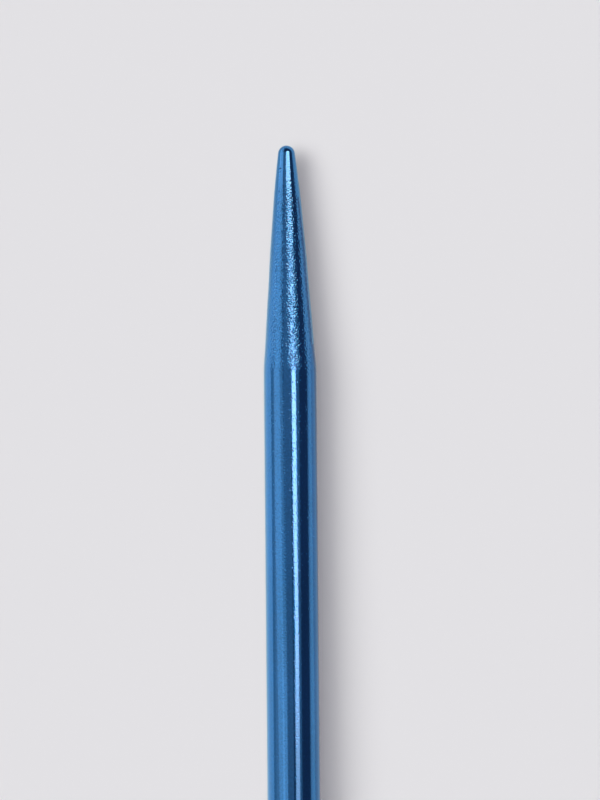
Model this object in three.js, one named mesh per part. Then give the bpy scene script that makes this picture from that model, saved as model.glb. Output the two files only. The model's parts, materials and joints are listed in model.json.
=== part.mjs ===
import * as THREE from 'three';

// A single-pointed aluminium knitting needle, lying on a flat surface as it does when put down:
// the rolled rim of the head and the shoulder of the taper touch the surface, so the shaft slopes
// gently down towards the point. Millimetres, +Z up, point towards +Y.

// Driving dimensions. Places along the needle are counted from the face of the head to the point.
const overallLength = 250;
const shaftRadius = 2.5;

const pointRadius = 0.8;
const taperLength = 20.3; // from the shoulder to where the round point begins
const taperFullness = 0.52; // how much the taper swells out past a straight cone
const shoulderBlendRadius = 22; // soft bend where the shaft turns into the taper

const headRadius = 6.5;
const headHeight = 4.25;
const capThickness = 0.5;
const capCornerRadius = 1.5;
const capCurlRadius = 0.9; // the skirt rolled in under the back plate
const capLipRadius = 5; // inner edge of the rolled skirt
const panelRadius = 4.3; // flat panel sunk into the face of the head
const panelDepth = 0.3;
const panelStep = 0.35; // width of the slope between the panel and the raised rim

const plateThickness = 0.6;
const plateBendRadius = 0.8;
const plateTurnUp = 2.5; // height of the plate's turned-up edge, which props the cap
const collarThickness = 0.55;
const collarLength = 1.5;

const tenonRadius = 1.5; // the turned-down end of the rod that passes through the back plate
const rivetRadius = 2.4; // the tenon's end, hammered flat inside the head
const rivetThickness = 0.85;

const seatGap = 0.05; // between faces that bear on each other
const boreGap = 0.15; // round the tenon in its hole
const facets = 32; // flats round every piece, one of them facing straight down

// Places along the needle that several pieces share.
const plateOuterFace = headHeight - capThickness - seatGap;
const plateInnerFace = plateOuterFace - plateThickness;
const plateRadius = headRadius - capThickness - 2 * seatGap;
const rivetSeat = plateInnerFace - seatGap;
const shaftSeat = plateOuterFace + seatGap;

const anodisedRod = new THREE.MeshStandardMaterial({ color: 0x3f82bd, roughness: 0.25, metalness: 1 });
const anodisedSheet = new THREE.MeshStandardMaterial({ color: 0x3a7ab4, roughness: 0.3, metalness: 1 });

// Points [radius, place] on an arc about a centre. Angles are in degrees from outwards to the point.
function arc([centreRadius, centrePlace], radius, from, to, steps) {
  return Array.from({ length: steps + 1 }, (_, i) => {
    const angle = THREE.MathUtils.degToRad(from + ((to - from) * i) / steps);
    return [centreRadius + radius * Math.cos(angle), centrePlace + radius * Math.sin(angle)];
  });
}

// Turns an outline about the needle's axis. The flats, not the corners, stand at the radius asked for.
function turned(name, outline, material) {
  const cornerScale = 1 / Math.cos(Math.PI / facets);
  const points = outline.map(([radius, place]) => new THREE.Vector2(radius * cornerScale, place));
  const geometry = new THREE.LatheGeometry(points, facets, Math.PI / facets);
  const mesh = new THREE.Mesh(geometry, material);
  mesh.name = name;
  return mesh;
}

// Half outline of the shoulder, taper and rounded point, from the shaft forwards.
function pointOutline() {
  const rise = shaftRadius - pointRadius;
  const pointSlope = Math.atan((rise / taperLength) * (1 + taperFullness));
  const shoulderSlope = Math.atan(rise / taperLength);

  const ballCentre = overallLength - pointRadius;
  const taperEnd = ballCentre + pointRadius * Math.sin(pointSlope);
  const taperStartRadius = pointRadius * Math.cos(pointSlope);
  const shoulder = taperEnd - taperLength;

  const blendReach = shoulderBlendRadius * Math.tan(shoulderSlope / 2);
  const blendCentre = [shaftRadius - shoulderBlendRadius, shoulder - blendReach];
  const slopeInDegrees = THREE.MathUtils.radToDeg(shoulderSlope);
  const blend = arc(blendCentre, shoulderBlendRadius, 0, slopeInDegrees, 4);

  const taperSteps = 9;
  const taper = [];
  for (let i = 1; i < taperSteps; i++) {
    const t = 1 - i / taperSteps; // 1 at the shoulder, 0 at the round point
    const swell = t + taperFullness * t * (1 - t) ** 2;
    const radius = taperStartRadius + (shaftRadius - taperStartRadius) * swell;
    taper.push([radius, taperEnd - t * taperLength]);
  }

  const ball = arc([0, ballCentre], pointRadius, THREE.MathUtils.radToDeg(pointSlope), 90, 6);
  ball[ball.length - 1][0] = 0;
  return [...blend, ...taper, ...ball];
}

// One solid rod: hammered rivet end, tenon, shaft, swaged taper and rounded point.
function shaft() {
  const rivetTop = rivetSeat - rivetThickness;
  const rivetEdge = 0.4;
  return turned('shaft', [
    [0, rivetTop],
    ...arc([rivetRadius - rivetEdge, rivetTop + rivetEdge], rivetEdge, -90, 0, 2),
    [rivetRadius, rivetSeat],
    [tenonRadius, rivetSeat],
    [tenonRadius, shaftSeat],
    [shaftRadius, shaftSeat],
    ...pointOutline(),
  ], anodisedRod);
}

// A pressed dish with a collar drawn out of it, which steadies the end of the shaft.
function headBackPlate() {
  const boreRadius = tenonRadius + boreGap;
  const collarRadius = shaftRadius + seatGap;
  const collarOuter = collarRadius + collarThickness;
  const collarEnd = plateOuterFace + collarLength;
  const turnUpTop = plateOuterFace - plateTurnUp;
  const bendCentre = [plateRadius - plateBendRadius, plateOuterFace - plateBendRadius];
  const innerBend = plateBendRadius - plateThickness;
  return turned('head_back_plate', [
    [boreRadius, plateInnerFace],
    ...arc(bendCentre, innerBend, 90, 0, 2),
    [plateRadius - plateThickness, turnUpTop],
    [plateRadius, turnUpTop],
    ...arc(bendCentre, plateBendRadius, 0, 90, 4),
    [collarOuter, plateOuterFace],
    [collarOuter, collarEnd],
    [collarRadius, collarEnd],
    [collarRadius, plateOuterFace],
    [boreRadius, plateOuterFace],
    [boreRadius, plateInnerFace],
  ], anodisedSheet);
}

// A pressed cap with a sunk panel in its face and its skirt rolled in under the back plate.
function headCap() {
  const cornerCentre = [headRadius - capCornerRadius, capCornerRadius];
  const curlCentre = [headRadius - capCurlRadius, headHeight - capCurlRadius];
  const panelBack = panelDepth + capThickness;
  return turned('head_cap', [
    [0, panelDepth],
    [panelRadius, panelDepth],
    [panelRadius + panelStep, 0],
    ...arc(cornerCentre, capCornerRadius, -90, 0, 5),
    ...arc(curlCentre, capCurlRadius, 0, 90, 5),
    [capLipRadius, headHeight],
    [capLipRadius, headHeight - capThickness],
    ...arc(curlCentre, capCurlRadius - capThickness, 90, 0, 4),
    ...arc(cornerCentre, capCornerRadius - capThickness, 0, -90, 4),
    [panelRadius + panelStep, capThickness],
    [panelRadius, panelBack],
    [0, panelBack],
  ], anodisedSheet);
}

// The slope that brings the head's rim and the taper's shoulder down to one level.
function lyingSlope() {
  const rimPlace = headHeight - capCurlRadius;
  const shoulderPlace = overallLength - pointRadius - taperLength;
  return Math.atan((headRadius - shaftRadius) / (shoulderPlace - rimPlace));
}

const needle = new THREE.Group();
needle.add(shaft(), headBackPlate(), headCap());
needle.rotation.x = -lyingSlope();

// Stands on z = 0 with its box centred over the origin.
const box = new THREE.Box3().setFromObject(needle, true);
const middle = box.getCenter(new THREE.Vector3());
needle.position.set(-middle.x, -middle.y, -box.min.z);

export default needle;
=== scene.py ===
import json
import math
import bmesh
import bpy
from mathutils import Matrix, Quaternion, Vector, noise


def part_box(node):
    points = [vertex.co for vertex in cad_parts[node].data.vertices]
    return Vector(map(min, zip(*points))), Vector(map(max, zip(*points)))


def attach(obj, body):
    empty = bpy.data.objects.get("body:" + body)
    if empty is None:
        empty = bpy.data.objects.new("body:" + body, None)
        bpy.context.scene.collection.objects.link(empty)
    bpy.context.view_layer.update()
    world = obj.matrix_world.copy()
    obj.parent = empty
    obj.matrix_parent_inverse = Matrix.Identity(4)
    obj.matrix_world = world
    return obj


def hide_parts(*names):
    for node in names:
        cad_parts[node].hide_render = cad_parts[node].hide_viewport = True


# A single-pointed aluminium knitting needle: a dyed, anodised rod with a swaged point,
# a pressed back plate and a rolled cap. Sizes below are in millimetres unless they say otherwise.

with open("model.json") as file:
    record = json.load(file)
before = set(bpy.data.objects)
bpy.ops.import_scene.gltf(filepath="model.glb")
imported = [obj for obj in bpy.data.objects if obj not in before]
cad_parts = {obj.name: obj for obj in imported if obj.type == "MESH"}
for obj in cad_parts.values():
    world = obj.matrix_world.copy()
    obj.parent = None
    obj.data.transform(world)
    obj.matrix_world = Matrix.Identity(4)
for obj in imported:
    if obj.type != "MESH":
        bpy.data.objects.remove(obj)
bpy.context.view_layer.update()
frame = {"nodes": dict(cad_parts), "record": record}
mm = 0.001
print("frame loaded:", ", ".join(sorted(frame["nodes"])))

# The mount on the head's face gives the needle's own axis, which slopes a little to the table.
panelDepth = 0.3
headFace = next(m for m in frame["record"]["mounts"] if m["name"] == "head_face")
forward = -Vector(headFace["axis"]).normalized()  # from the head to the point
sideways = Vector((1, 0, 0))
upward = sideways.cross(forward)
headMiddle = Vector(headFace["pos_m"]) - forward * panelDepth * mm


def halfWidth(node):
    low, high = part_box(node)
    return (high.x - low.x) / 2 / mm


def onNeedle(across, along, up):
    return headMiddle + (sideways * across + forward * along + upward * up) * mm


shaftRadius = halfWidth("shaft")
headRadius = halfWidth("head_cap")
pointRadius = 0.8
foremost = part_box("shaft")[1].y / mm
length = (foremost - headMiddle.y / mm - pointRadius) / forward.y + pointRadius
print(f"needle {length:.1f} long, {2 * shaftRadius:.2f} thick, head {2 * headRadius:.1f} across")


def arc(centre, radius, start, end, steps):
    # points (radius, along) round a centre; 0 degrees is outwards and 90 is towards the point
    turns = [math.radians(start + (end - start) * i / steps) for i in range(steps + 1)]
    return [(centre[0] + radius * math.cos(t), centre[1] + radius * math.sin(t)) for t in turns]


def spinPiece(name, outline, sides, relief=None, lean=None):
    # outline runs from the axis back to the axis, or closes on itself as a ring
    mesh = bmesh.new()
    rings = []
    for radius, along in outline:
        shift = lean(along) if lean else 0
        if radius < 1e-6:
            rings.append([mesh.verts.new(onNeedle(shift, along, 0))])
            continue
        ring = []
        for i in range(sides):
            angle = math.tau * i / sides
            r = radius + (relief(radius, along, angle) if relief else 0)
            ring.append(mesh.verts.new(onNeedle(shift + r * math.sin(angle), along, r * math.cos(angle))))
        rings.append(ring)
    pairs = list(zip(rings, rings[1:]))
    if len(rings[0]) > 1:
        pairs.append((rings[-1], rings[0]))
    for a, b in pairs:
        for i in range(sides):
            j = (i + 1) % sides
            corners = [a[i % len(a)], a[j % len(a)], b[j % len(b)], b[i % len(b)]]
            mesh.faces.new(list(dict.fromkeys(corners)))
    bmesh.ops.recalc_face_normals(mesh, faces=mesh.faces)
    data = bpy.data.meshes.new(name)
    mesh.to_mesh(data)
    mesh.free()
    data.shade_smooth()
    data.set_sharp_from_angle(angle=math.radians(40))
    piece = bpy.data.objects.new(name, data)
    bpy.context.scene.collection.objects.link(piece)
    return piece


rod = {
    "sides": 128,
    "taperLength": 20.3,
    "taperFullness": 0.52,  # swell of the taper past a straight cone
    "shoulderBlend": 22,  # radius of the soft bend between shaft and taper
    "shaftStep": 1.0,  # between rings of the mesh
    "taperStep": 0.16,
    "fineStep": 0.04,  # round the nicks
    "fineReach": 0.3,  # to either side of a nick
    "pointLean": 0.17,  # the swaged point sits a hair to the left of the shaft's axis
    "tenonRadius": 1.5,
    "rivetRadius": 2.4,
    "rivetThickness": 0.85,
    "rivetEdge": 0.35,
    "rivetCrown": 0.12,  # the hammered end stands proud in its middle
    "rivetCrownRadius": 1.0,
    "rivetSeat": 3.05,
    "shaftSeat": 3.75,
    "chamfer": 0.1,
    "drawnWave": 0.0006,  # faint waviness left by drawing the rod
    "drawnWaves": (1.3, 0.12),  # to the millimetre, across and along
    "swagedWave": 0.0035,  # uneven dimples left by the swaging hammers
    "swagedWaves": (1.1, 0.75),
    "rippleDepth": 0.009,  # the hammers' steps along the taper
    "rippleLength": 5.8,
    "rippleStart": 3.4,  # in front of the shoulder
    "swagedBehind": 0.6,  # the hammers' marks begin this far behind the shoulder
    "polishedTip": 1.2,  # bare of marks, behind the round point
    "polishedFade": 3.5,
    "etchedBehind": 14,  # the grain stays full to this far behind the shoulder
    "etchedFade": 25,
    "shaftEtch": 0.35,  # share of the grain left far down the shaft
    "tipEtch": 0.2,
}

# small knocks near the point: behind the point, degrees round from the top, length round, width, depth
nicks = [(2.30, 322, 0.18, 0.060, 0.050), (2.62, 318, 0.12, 0.050, 0.026)]

rise = shaftRadius - pointRadius
pointSlope = math.atan(rise / rod["taperLength"] * (1 + rod["taperFullness"]))
shoulderSlope = math.atan(rise / rod["taperLength"])
ballCentre = length - pointRadius
taperEnd = ballCentre + pointRadius * math.sin(pointSlope)
shoulder = taperEnd - rod["taperLength"]


def taperRadius(t):
    # t is 1 at the shoulder and 0 where the round point begins
    small = pointRadius * math.cos(pointSlope)
    return small + (shaftRadius - small) * (t + rod["taperFullness"] * t * (1 - t) ** 2)


def swaged(along):
    # 0 on the drawn shaft, 1 on the hammered taper, fading out on the polished tip
    start = min(1, max(0, along - shoulder + rod["swagedBehind"]))
    end = min(1, max(0, (taperEnd - rod["polishedTip"] - along) / rod["polishedFade"]))
    return start * end


def etched(along):
    # coarsest round the shoulder, finer down the shaft and at the polished tip
    down = 1 - max(0, shoulder - along - rod["etchedBehind"]) / rod["etchedFade"]
    tip = (taperEnd - rod["polishedTip"] - along) / rod["polishedFade"]
    return min(1, max(rod["shaftEtch"], down), max(rod["tipEtch"], tip))


def nickDepth(radius, along, angle):
    depth = 0
    for behind, turn, roundLength, width, deepest in nicks:
        ahead = (along - length + behind) / width
        if abs(ahead) < 3:  # nothing is left of a nick beyond three widths
            side = (angle - math.radians(turn)) * radius / roundLength
            depth += deepest * math.exp(-ahead * ahead - side * side)
    return depth


def waviness(radius, along, angle, waves, start):
    across, lengthwise = waves
    x, y = radius * math.sin(angle), radius * math.cos(angle)
    return noise.noise(Vector((x * across, y * across, along * lengthwise + start)))


def rodRelief(radius, along, angle):
    if along < rod["shaftSeat"]:
        return 0
    drawn = waviness(radius, along, angle, rod["drawnWaves"], 0)
    hammered = waviness(radius, along, angle, rod["swagedWaves"], 40)
    step = math.sin(math.tau * (along - shoulder - rod["rippleStart"]) / rod["rippleLength"])
    worked = hammered * rod["swagedWave"] + step * rod["rippleDepth"]
    return drawn * rod["drawnWave"] + worked * swaged(along) - nickDepth(radius, along, angle)


def pointLean(along):
    return -rod["pointLean"] * max(0, (along - shoulder) / (length - shoulder))


def rodOutline():
    top = rod["rivetSeat"] - rod["rivetThickness"]
    edge, crown, chamfer = rod["rivetEdge"], rod["rivetCrown"], rod["chamfer"]
    outline = [(0, top - crown), (rod["rivetCrownRadius"], top - crown * 2 / 3)]
    outline += arc((rod["rivetRadius"] - edge, top + edge), edge, -90, 0, 6)
    outline += [(rod["rivetRadius"], rod["rivetSeat"]), (rod["tenonRadius"], rod["rivetSeat"])]
    outline += [(rod["tenonRadius"], rod["shaftSeat"]), (shaftRadius - chamfer, rod["shaftSeat"])]
    outline += [(shaftRadius, rod["shaftSeat"] + chamfer)]
    reach = rod["shoulderBlend"] * math.tan(shoulderSlope / 2)
    blendStart = shoulder - reach
    steps = round((blendStart - outline[-1][1]) / rod["shaftStep"])
    first = outline[-1][1]
    outline += [(shaftRadius, first + (blendStart - first) * i / steps) for i in range(1, steps)]
    blendCentre = (shaftRadius - rod["shoulderBlend"], blendStart)
    outline += arc(blendCentre, rod["shoulderBlend"], 0, math.degrees(shoulderSlope), 8)
    along = outline[-1][1] + rod["taperStep"]
    while along < taperEnd - rod["fineStep"]:
        outline.append((taperRadius((taperEnd - along) / rod["taperLength"]), along))
        nearNick = any(abs(along - length + nick[0]) < rod["fineReach"] for nick in nicks)
        along += rod["fineStep"] if nearNick else rod["taperStep"]
    ball = arc((0, ballCentre), pointRadius, math.degrees(pointSlope), 90, 24)
    return outline + ball[:-1] + [(0, length)]


def mark(piece, name, amount):
    # notes an amount at every spot of a piece, for its finish to read
    spots = piece.data.attributes.new(name, "FLOAT", "POINT")
    for vertex, spot in zip(piece.data.vertices, spots.data):
        away = vertex.co - headMiddle
        along = away.dot(forward) / mm
        radius = math.hypot(away.dot(sideways), away.dot(upward)) / mm
        spot.value = amount(radius, along)


def makeRod(finish):
    piece = spinPiece("shaft_rod", rodOutline(), rod["sides"], rodRelief, pointLean)
    mark(piece, "swaged", lambda radius, along: swaged(along))
    mark(piece, "etched", lambda radius, along: etched(along))
    piece.data.materials.append(finish)
    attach(piece, "root")
    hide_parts("shaft")
    print("rod made:", len(piece.data.polygons), "faces")
    return piece


backPlate = {
    "sides": 128,
    "outerFace": 3.7,
    "thickness": 0.6,
    "radius": 5.9,
    "bend": 0.8,
    "turnUp": 2.5,
    "boreRadius": 1.65,
    "collarRadius": 2.55,
    "collarThickness": 0.55,
    "collarLength": 1.5,
    "collarRoot": 0.3,  # soft corner where the collar was drawn out of the plate
    "edge": 0.12,
}


def makeBackPlate(finish):
    p = backPlate
    face, inner = p["outerFace"], p["outerFace"] - p["thickness"]
    bend = (p["radius"] - p["bend"], face - p["bend"])
    top = face - p["turnUp"]
    wall = p["radius"] - p["thickness"]
    collar, collarEnd = p["collarRadius"] + p["collarThickness"], face + p["collarLength"]
    root, edge = p["collarRoot"], p["edge"]
    outline = [(p["boreRadius"], inner)]
    outline += arc(bend, p["bend"] - p["thickness"], 90, 0, 6)
    outline += [(wall, top + edge)]
    outline += arc((wall + edge, top + edge), edge, 180, 270, 4)[1:]
    outline += arc((p["radius"] - edge, top + edge), edge, -90, 0, 4)
    outline += arc(bend, p["bend"], 0, 90, 12)
    outline += arc((collar + root, face + root), root, 270, 180, 6)
    outline += arc((collar - edge, collarEnd - edge), edge, 0, 90, 5)
    outline += arc((p["collarRadius"] + edge, collarEnd - edge), edge, 90, 180, 5)
    outline += [(p["collarRadius"], face), (p["boreRadius"], face)]
    piece = spinPiece("head_back_dish", outline, p["sides"])
    mark(piece, "etched", lambda radius, along: 1)
    piece.data.materials.append(finish)
    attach(piece, "root")
    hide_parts("head_back_plate")
    print("back plate made:", len(piece.data.polygons), "faces")
    return piece


cap = {
    "sides": 160,
    "height": 4.25,
    "thickness": 0.5,
    "corner": 1.5,
    "curl": 0.9,
    "lipRadius": 5.0,
    "panelRadius": 4.3,
    "panelRings": 14,  # of the mesh, from the panel's middle to its edge
    "panelStep": 0.35,
    "panelCrown": 0.06,  # the panel springs back a little after pressing
    "panelBend": 0.2,
    "rimBend": 0.15,
    "rubbedReach": 0.9,  # how far round the rim's front corner the wear goes
    "rollMarks": 40,  # light marks round the skirt where it was rolled in
    "rollDepth": 0.006,
}


def capRelief(radius, along, angle):
    inCurl = max(0, min(1, (along - cap["height"] + cap["curl"]) / cap["curl"]))
    marks = 0.5 + 0.5 * math.cos(angle * cap["rollMarks"])
    return -marks * cap["rollDepth"] * inCurl


def makeCap(finish):
    c = cap
    corner = (headRadius - c["corner"], c["corner"])
    curl = (headRadius - c["curl"], c["height"] - c["curl"])
    depth, crown, back = panelDepth, c["panelCrown"], panelDepth + c["thickness"]
    rim = c["panelRadius"] + c["panelStep"]
    face = [c["panelRadius"] * i / c["panelRings"] for i in range(c["panelRings"] + 1)]
    outline = [(r, depth - crown * (1 - (r / c["panelRadius"]) ** 2)) for r in face[:-1]]
    bend, rimBend = c["panelBend"], c["rimBend"]
    outline += arc((c["panelRadius"] - bend / 2, depth - bend), bend, 90, 40, 5)
    outline += arc((rim + rimBend * 0.8, rimBend), rimBend, 220, 270, 5)
    outline += arc(corner, c["corner"], -90, 0, 20)
    outline += arc(curl, c["curl"], 0, 90, 16)
    outline += arc((c["lipRadius"] + rimBend, c["height"] - rimBend), rimBend, 90, 180, 4)
    outline += [(c["lipRadius"], c["height"] - c["thickness"])]
    outline += arc(curl, c["curl"] - c["thickness"], 90, 0, 8)
    outline += arc(corner, c["corner"] - c["thickness"], 0, -90, 12)
    outline += [(rim, c["thickness"]), (c["panelRadius"], back)]
    outline += [(r, back - crown * (1 - (r / c["panelRadius"]) ** 2)) for r in face[-2::-1]]
    piece = spinPiece("head_cap_shell", outline, c["sides"], capRelief)
    mark(piece, "etched", lambda radius, along: 1)
    edge = (corner[0] + c["corner"] * 0.7, corner[1] - c["corner"] * 0.7)  # the corner's middle
    reach = c["rubbedReach"]
    mark(piece, "rubbed", lambda radius, along: max(0, 1 - math.dist((radius, along), edge) / reach))
    piece.data.materials.append(finish)
    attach(piece, "root")
    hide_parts("head_cap")
    print("cap made:", len(piece.data.polygons), "faces")
    return piece


def link(tree, fromNode, output, toNode, socket):
    tree.links.new(fromNode.outputs[output], toNode.inputs[socket])


def addNode(tree, kind, **values):
    made = tree.nodes.new(kind)
    for name, value in values.items():
        if hasattr(made, name):
            setattr(made, name, value)
        else:
            made.inputs[name.replace("_", " ")].default_value = value
    return made


def grainNoise(tree, place, size, detail=2.0, stretch=None):
    # noise whose cells are `size` millimetres across
    source = place
    if stretch:
        source = addNode(tree, "ShaderNodeMapping", Scale=stretch)
        link(tree, place, "Object", source, "Vector")
    made = addNode(tree, "ShaderNodeTexNoise", Scale=1 / (size * mm), Detail=detail)
    link(tree, source, "Vector" if stretch else "Object", made, "Vector")
    return made


def spread(tree, source, output, low, high, fromLow=0.3, fromHigh=0.7):
    made = addNode(tree, "ShaderNodeMapRange")
    made.inputs["From Min"].default_value = fromLow
    made.inputs["From Max"].default_value = fromHigh
    made.inputs["To Min"].default_value = low
    made.inputs["To Max"].default_value = high
    link(tree, source, output, made, "Value")
    return made


def combine(tree, operation, first, firstOutput, second, secondOutput="Value"):
    # second is another node or a plain number
    made = addNode(tree, "ShaderNodeMath", operation=operation)
    link(tree, first, firstOutput, made, 0)
    if isinstance(second, (int, float)):
        made.inputs[1].default_value = second
    else:
        link(tree, second, secondOutput, made, 1)
    return made


rodFinish = {
    "deepDye": (0.007, 0.155, 0.395, 1),
    "lightDye": (0.017, 0.205, 0.535, 1),
    "edgeTint": (0.14, 0.88, 1.0, 1),  # the metal seen at a glancing angle
    "roughness": (0.09, 0.15),
    "swagedRoughness": 0.02,  # added where the hammers worked the surface
    "coatRoughness": 0.05,
    "coatIor": 1.5,
    "grainSize": 0.16,
    "etchedGrain": 0.004,  # depth of the fine grain that the etching bath leaves
    "swagedGrain": 0.022,  # and of the grain under the swaging hammers
    "wornDye": (0.30, 0.44, 0.62, 1),
    "wear": 0,
    "pitSpacing": 0.26,
    "pitDepth": 0.013,
}

sheetFinish = {
    "deepDye": (0.006, 0.140, 0.360, 1),
    "lightDye": (0.015, 0.190, 0.500, 1),
    "edgeTint": (0.14, 0.88, 1.0, 1),
    "roughness": (0.17, 0.25),
    "swagedRoughness": 0,
    "coatRoughness": 0.08,
    "coatIor": 1.5,
    "grainSize": 0.22,
    "etchedGrain": 0.006,
    "swagedGrain": 0,
    "wornDye": (0.30, 0.44, 0.62, 1),
    "wear": 0.5,
    "pitSpacing": 0.35,
    "pitDepth": 0.010,
}


def anodised(name, look):
    finish = bpy.data.materials.new(name)
    finish.use_nodes = True
    tree = finish.node_tree
    shader = tree.nodes["Principled BSDF"]
    shader.inputs["Metallic"].default_value = 1
    shader.inputs["Specular Tint"].default_value = look["edgeTint"]
    shader.inputs["Coat Weight"].default_value = 1
    shader.inputs["Coat Roughness"].default_value = look["coatRoughness"]
    shader.inputs["Coat IOR"].default_value = look["coatIor"]
    place = addNode(tree, "ShaderNodeTexCoord")

    # the dye takes unevenly: slow drift over centimetres, speckle over tenths
    drift = spread(tree, grainNoise(tree, place, 9), "Fac", 0, 0.5)
    speckle = spread(tree, grainNoise(tree, place, look["grainSize"], 0), "Fac", 0, 0.5, 0.35, 0.65)
    taken = combine(tree, "ADD", drift, "Result", speckle, "Result")
    dye = addNode(tree, "ShaderNodeMix", data_type="RGBA")
    dye.inputs[6].default_value = look["deepDye"]
    dye.inputs[7].default_value = look["lightDye"]
    link(tree, taken, "Value", dye, "Factor")
    # paler where handling has rubbed the dye thin
    rubbing = addNode(tree, "ShaderNodeAttribute", attribute_name="rubbed")
    patchy = spread(tree, grainNoise(tree, place, 0.8, 4), "Fac", 0, look["wear"], 0.45, 0.65)
    worn = combine(tree, "MULTIPLY", rubbing, "Fac", patchy, "Result")
    colour = addNode(tree, "ShaderNodeMix", data_type="RGBA")
    colour.inputs[7].default_value = look["wornDye"]
    link(tree, worn, "Value", colour, "Factor")
    link(tree, dye, 2, colour, 6)
    link(tree, colour, 2, shader, "Base Color")

    # lengthwise drawing lines in the gloss
    streaks = grainNoise(tree, place, 0.35, 3, (1, 0.02, 1))
    gloss = spread(tree, streaks, "Fac", *look["roughness"])
    hammering = addNode(tree, "ShaderNodeAttribute", attribute_name="swaged")
    duller = combine(tree, "MULTIPLY", hammering, "Fac", look["swagedRoughness"])
    roughness = combine(tree, "ADD", gloss, "Result", duller)
    link(tree, roughness, "Value", shader, "Roughness")

    # grain heights in millimetres: the etching bath's, the swaging hammers' and the pits
    grain = grainNoise(tree, place, look["grainSize"], 0)
    etching = addNode(tree, "ShaderNodeAttribute", attribute_name="etched")
    height = combine(tree, "MULTIPLY", etching, "Fac", look["etchedGrain"])
    hammered = combine(tree, "MULTIPLY", hammering, "Fac", look["swagedGrain"])
    depth = combine(tree, "ADD", height, "Value", hammered)
    rolling = combine(tree, "MULTIPLY", grain, "Fac", depth)
    # a round bowl in the middle of each cell, deeper in some cells than in others
    cells = addNode(tree, "ShaderNodeTexVoronoi", Scale=1 / (look["pitSpacing"] * mm))
    link(tree, place, "Object", cells, "Vector")
    bowl = spread(tree, cells, "Distance", -1, 0, 0, 0.4)
    bowl.interpolation_type = "SMOOTHSTEP"
    pitted = spread(tree, cells, "Color", 0, look["pitDepth"], 0.3, 0.9)
    pitDepth = combine(tree, "MULTIPLY", etching, "Fac", pitted, "Result")
    pits = combine(tree, "MULTIPLY", bowl, "Result", pitDepth)
    relief = combine(tree, "ADD", rolling, "Value", pits)
    bump = addNode(tree, "ShaderNodeBump", Strength=1, Distance=mm)
    link(tree, relief, "Value", bump, "Height")
    link(tree, bump, "Normal", shader, "Normal")
    link(tree, bump, "Normal", shader, "Coat Normal")
    print("finish made:", name)
    return finish


sheetBlue = anodised("anodised sheet", sheetFinish)
needle = [makeRod(anodised("anodised rod", rodFinish)), makeBackPlate(sheetBlue), makeCap(sheetBlue)]


warmer = (1, 0.49, 0.39)
warm = (1, 0.54, 0.47)
amber = (1, 0.55, 0.40)
warmWhite = (1, 0.90, 0.86)
white = (1, 1, 1)
coolWhite = (0.62, 0.75, 1)
paleCyan = (0.76, 0.92, 1)
pinkWhite = (1, 0.92, 1)
dusk = (1, 0.72, 0.77)
down, up, right = (0, 0, -1), (0, 0, 1), (1, 0, 0)

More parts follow.
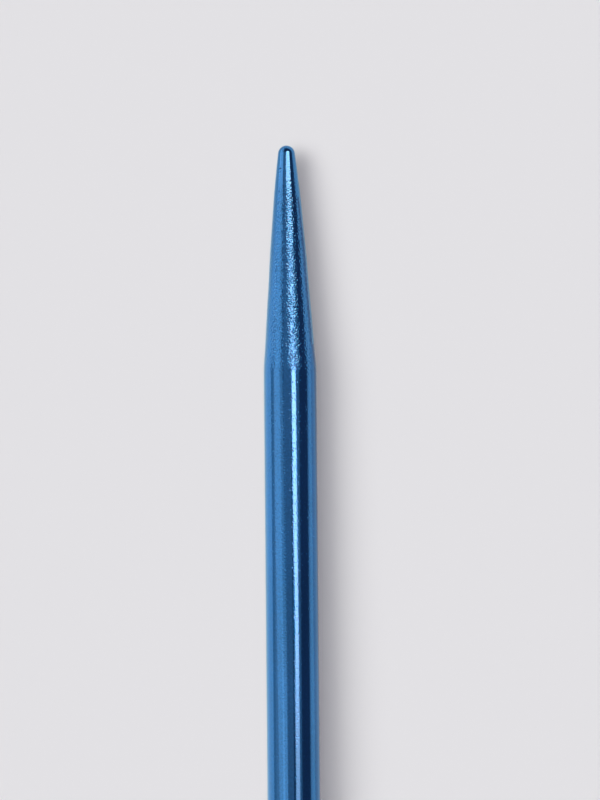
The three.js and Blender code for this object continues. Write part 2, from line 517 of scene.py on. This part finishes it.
stage = {
    "floorSize": 8.0,  # metres
    "floorColour": (0.873, 0.860, 0.846, 1),
    "keysFromFront": 12,  # degrees that the keys come from the point's side
    "wallGlow": 0.72,  # pale walls, up to the height where the dark ceiling begins
    "wallColour": (0.985, 0.985, 1),
    "ceilingGlow": 0.13,
    "ceilingColour": (0.64, 0.66, 1),
    "wallTop": (0.08, 0.22),
    # strength, degrees across, degrees over to the left, casts a shadow
    "suns": {
        "key": (0.91, 36, 38, True),
        "soft key": (1.24, 62, 24, True),
        "fill": (0.62, 10, 0, False),
    },
    # radiance, colour, size, middle (metres from the needle's shoulder), facing, turn about the facing
    "panels": {
        "near strip": (8.0, warm, (0.196, 0.075), (0.165, 0.038, 0.60), down, 0),
        "near strip, back": (7.2, warm, (0.200, 0.020), (0.186, -0.010, 0.60), down, 0),
        "near strip, dimmer": (6.8, warm, (0.176, 0.022), (0.222, -0.031, 0.60), down, 0),
        "near strip, dimmest": (4.2, warmer, (0.210, 0.020), (0.2115, -0.052, 0.60), down, 0),
        "near strip, end": (2.8, warmer, (0.196, 0.046), (0.216, -0.085, 0.60), down, 0),
        "strip glow": (0.25, white, (0.17, 0.25), (0.38, -0.02, 0.60), down, 0),
        "taper glow": (0.25, white, (0.50, 0.10), (0.22, 0.125, 0.60), down, 0),
        "far box": (5.3, amber, (0.40, 0.06), (0.11, 0.205, 0.60), down, 0),
        "far box, middle": (7.2, amber, (0.50, 0.095), (0.23, 0.283, 0.60), down, 0),
        "far box, end": (9.5, amber, (0.42, 0.145), (0.30, 0.403, 0.60), down, 0),
        "taper, right glow": (1.2, warmWhite, (0.20, 0.07), (0.49, 0.135, 0.60), down, 0),
        "taper, left glow": (0.11, warmWhite, (0.29, 0.34), (-0.335, 0.26, 0.62), down, 0),
        "point, left glow": (0.78, warmWhite, (0.27, 0.22), (-0.48, 0.29, 0.62), down, 0),
        "left strip": (0.50, warmWhite, (0.24, 0.85), (-0.60, -0.109, 0.577), right, 29),
        "left strip, glow": (0.55, warmWhite, (0.52, 1.6), (-0.61, 0, 0.49), right, 29),
        "left box, back": (0.42, warmWhite, (0.20, 0.80), (-0.62, -0.15, 1.0), right, 0),
        "left box, tip": (0.80, warmWhite, (1.16, 0.66), (-0.62, 0.74, 0.33), right, 0),
        "left paper": (0.22, coolWhite, (0.027, 0.30), (-0.0165, -0.04, 0.0003), up, 0),
        "overhead": (0.26, white, (0.60, 1.2), (-0.27, 0, 1.0), down, 0),
    },
    # dim glowing cards, seen only in the gloss, that paint a reflection in place of what is behind them:
    # the right and taper cards paint the table beside the needle, in and out of its shadow, and the left
    # card paints a darker strip low on the left.
    # radiance, colour, size, middle (metres from the needle's shoulder), facing, turn about the facing
    "cards": {
        "left card": (0.50, paleCyan, (0.19, 0.0075), (-0.030, -0.090, 0.0040), right, 0),
        "right card": (0.47, dusk, (0.00095, 0.19), (0.00248, -0.0928, 0.0004), up, 0),
        "right card, outer": (0.58, pinkWhite, (0.0043, 0.19), (0.0051, -0.0928, 0.0004), up, 0),
        "taper card": (0.50, dusk, (0.0013, 0.014), (0.0024, 0.0092, 0.0004), up, 7),
    },
}


def turnTo(thing, direction, twist=0):
    facing = Vector(direction).normalized()
    turn = Quaternion(facing, math.radians(twist)) @ facing.to_track_quat("-Z", "Y")
    thing.rotation_euler = turn.to_euler()


def lightsOnly(name, things):
    # the pieces that a light may reach
    reached = bpy.data.collections.new(name)
    for thing in things:
        reached.objects.link(thing)
    return reached


def makeTable():
    table = bmesh.new()
    bmesh.ops.create_grid(table, x_segments=2, y_segments=2, size=stage["floorSize"] / 2)
    data = bpy.data.meshes.new("table")
    table.to_mesh(data)
    table.free()
    surface = bpy.data.objects.new("table", data)
    bpy.context.scene.collection.objects.link(surface)
    paper = bpy.data.materials.new("pale table")
    paper.use_nodes = True
    shader = paper.node_tree.nodes["Principled BSDF"]
    shader.inputs["Base Color"].default_value = stage["floorColour"]
    shader.inputs["Roughness"].default_value = 0.9
    shader.inputs["Specular IOR Level"].default_value = 0
    data.materials.append(paper)
    return surface


def addSun(name, strength, angle, leftwards, shadow, reached):
    sun = bpy.data.lights.new(name, "SUN")
    sun.energy = strength
    sun.angle = math.radians(angle)
    sun.use_shadow = shadow
    sun.cycles.use_multiple_importance_sampling = False  # or it would shine through the needle
    light = bpy.data.objects.new(name, sun)
    bpy.context.scene.collection.objects.link(light)
    side = math.tan(math.radians(leftwards))
    front = math.tan(math.radians(stage["keysFromFront"])) if shadow else 0
    turnTo(light, (side, -front, -1))
    light.light_linking.receiver_collection = reached


def addPanel(name, radiance, colour, size, place, facing, twist, reached):
    area = bpy.data.lights.new(name, "AREA")
    area.shape = "RECTANGLE"
    area.size, area.size_y = size
    area.energy = radiance * math.pi * size[0] * size[1]
    area.color = colour
    light = bpy.data.objects.new(name, area)
    bpy.context.scene.collection.objects.link(light)
    light.location = onNeedle(0, shoulder, 0) + Vector(place)
    turnTo(light, facing, twist)
    light.visible_camera = False
    light.light_linking.receiver_collection = reached


# a dim glowing sheet that only the metal's gloss sees: a painted reflection standing in for darker
# surroundings
def addCard(name, radiance, colour, size, place, facing, twist):
    mesh = bmesh.new()
    bmesh.ops.create_grid(mesh, x_segments=1, y_segments=1, size=0.5)
    data = bpy.data.meshes.new(name)
    mesh.to_mesh(data)
    mesh.free()
    card = bpy.data.objects.new(name, data)
    bpy.context.scene.collection.objects.link(card)
    card.scale = (*size, 1)
    card.location = onNeedle(0, shoulder, 0) + Vector(place)
    turnTo(card, facing, twist)
    glow = bpy.data.materials.new(name)
    glow.use_nodes = True
    shader = glow.node_tree.nodes["Principled BSDF"]
    shader.inputs["Base Color"].default_value = (0, 0, 0, 1)
    shader.inputs["Specular IOR Level"].default_value = 0
    shader.inputs["Emission Color"].default_value = (*colour, 1)
    shader.inputs["Emission Strength"].default_value = radiance
    data.materials.append(glow)
    card.visible_camera = card.visible_diffuse = card.visible_shadow = False
    card.visible_transmission = False


def makeLights(surface):
    for piece in needle:
        piece.visible_diffuse = False  # it throws its shadow, but no blue light, on the table
    # the suns light the table; the panels are what shows in the metal's gloss
    onTable = lightsOnly("the table", [surface])
    onNeedleOnly = lightsOnly("the needle", needle)
    for name, sun in stage["suns"].items():
        addSun(name, *sun, onTable)
    for name, panel in stage["panels"].items():
        addPanel(name, *panel, onNeedleOnly)
    # the cards are painted reflections, seen only in the gloss
    for name, card in stage["cards"].items():
        addCard(name, *card)


def makeRoom():
    # pale walls and a dark ceiling, told apart by height
    room = bpy.data.worlds.new("room")
    room.use_nodes = True
    tree = room.node_tree
    background = tree.nodes["Background"]
    place = addNode(tree, "ShaderNodeTexCoord")
    height = addNode(tree, "ShaderNodeSeparateXYZ")
    link(tree, place, "Generated", height, "Vector")
    upWall = spread(tree, height, "Z", 0, 1, *stage["wallTop"])
    colour = addNode(tree, "ShaderNodeMix", data_type="RGBA")
    colour.inputs[6].default_value = [stage["wallGlow"] * c for c in stage["wallColour"]] + [1]
    colour.inputs[7].default_value = [stage["ceilingGlow"] * c for c in stage["ceilingColour"]] + [1]
    link(tree, upWall, "Result", colour, "Factor")
    link(tree, colour, 2, background, "Color")
    bpy.context.scene.world = room


view = {
    "lens": 200,  # a long lens, so the shaft keeps its width down the picture
    "sensor": 36,  # along the picture's long side
    "seenLength": 75.5,  # of the table, along the picture's long side
    "behindPoint": 24.06,
    "rightOfAxis": 0.91,
    "roll": -0.51,  # degrees
}


def makeCamera():
    lens = bpy.data.cameras.new("camera")
    lens.lens = view["lens"]
    lens.sensor_width = view["sensor"]
    lens.clip_start, lens.clip_end = 0.01, 50
    camera = bpy.data.objects.new("camera", lens)
    bpy.context.scene.collection.objects.link(camera)
    middle = onNeedle(view["rightOfAxis"], length - view["behindPoint"], 0)
    height = view["seenLength"] * mm * view["lens"] / view["sensor"]
    camera.location = middle + Vector((0, 0, height))
    camera.rotation_euler = (0, 0, math.radians(view["roll"]))
    bpy.context.scene.camera = camera


makeLights(makeTable())
makeRoom()
makeCamera()
bpy.context.scene.view_settings.view_transform = "Standard"
print("table, lights and camera set")
